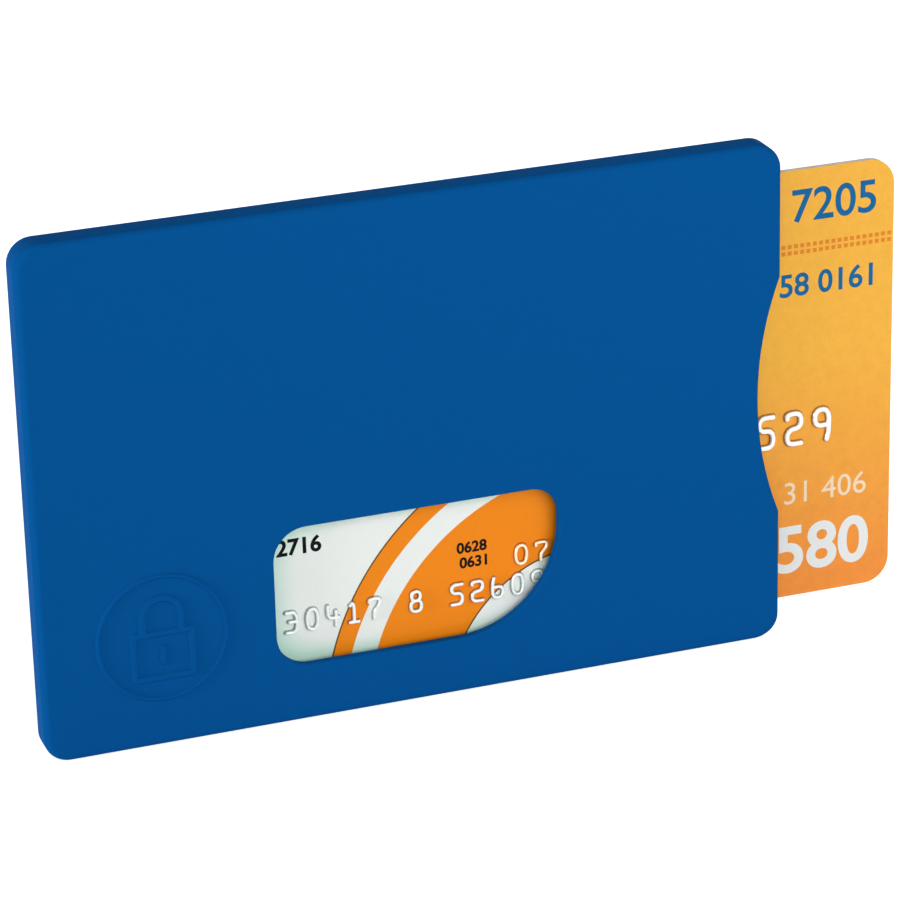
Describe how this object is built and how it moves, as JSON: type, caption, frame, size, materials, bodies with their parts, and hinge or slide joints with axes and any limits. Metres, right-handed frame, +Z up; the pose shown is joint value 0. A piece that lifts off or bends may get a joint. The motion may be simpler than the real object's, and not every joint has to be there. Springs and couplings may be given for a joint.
{
  "type": "rfid card sleeve",
  "caption": "Hard plastic sleeve that shields a contactless card from radio reading, with an open mouth, thumb notch and window, and a card that slides in and out.",
  "frame": {"origin": "middle of the long lower edge that the sleeve stands on: half-way along the sleeve, half-way through its depth, on the resting surface", "axes": "+X along the sleeve from the closed end to the open mouth, +Y from the windowed front to the rear, +Z up across the sleeve"},
  "size_m": [0.1063, 0.0041, 0.0624],
  "materials": {
    "shell_plastic": "satin",
    "shield_foil": "rolled",
    "adhesive_film": "clear acrylic film",
    "card_face": "gloss laminate",
    "card_core": "plain",
    "antenna_metal": "etched",
    "stripe_film": "gloss",
    "signature_film": "matt",
    "contact_metal": "gold plated",
    "module_tape": "glass and epoxy laminate",
    "chip_silicon": "polished silicon",
    "capsule_resin": "cast resin"
  },
  "bodies": {
    "sleeve": {"front_shell": "shell_plastic", "rear_shell": "shell_plastic", "front_shield": "shield_foil", "rear_shield": "shield_foil", "front_shield_film": "adhesive_film", "rear_shield_film": "adhesive_film"},
    "card": {"card_front_overlay": "card_face", "card_front_core": "card_core", "card_inlay": "card_core", "card_antenna": "antenna_metal", "card_rear_core": "card_core", "card_rear_overlay": "card_face", "card_magnetic_stripe": "stripe_film", "card_signature_panel": "signature_film", "card_contacts": "contact_metal", "card_module_tape": "module_tape", "card_chip": "chip_silicon", "card_chip_capsule": "capsule_resin"}
  },
  "joints": [
    {"name": "card_slide", "type": "slide", "parent": "sleeve", "child": "card", "axis": [1, 0, 0], "range_m": [-0.0173, 0.066]}
  ]
}
